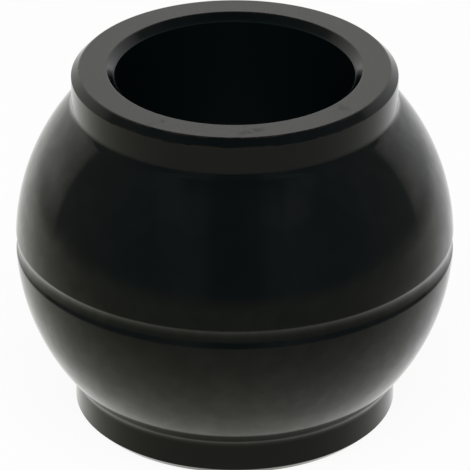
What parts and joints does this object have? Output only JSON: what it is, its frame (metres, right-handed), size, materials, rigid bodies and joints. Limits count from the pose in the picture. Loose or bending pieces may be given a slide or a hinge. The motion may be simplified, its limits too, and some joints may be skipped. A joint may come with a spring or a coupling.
{
  "type": "hitch ball",
  "caption": "Blackened steel ball with a through bore for a hitch pin, a straight collar on each side and a shallow groove round its equator.",
  "frame": {"origin": "centre of the ball, halfway along the bore between the two end faces", "axes": "+Z along the bore, upwards when the ball stands on an end face; the part is a body of revolution about Z"},
  "size_m": [0.0528, 0.0528, 0.045],
  "materials": {
    "black_steel": "smooth black oxide, lightly oiled, semi-gloss"
  },
  "bodies": {
    "root": {"hitch_ball": "black_steel"}
  },
  "joints": []
}
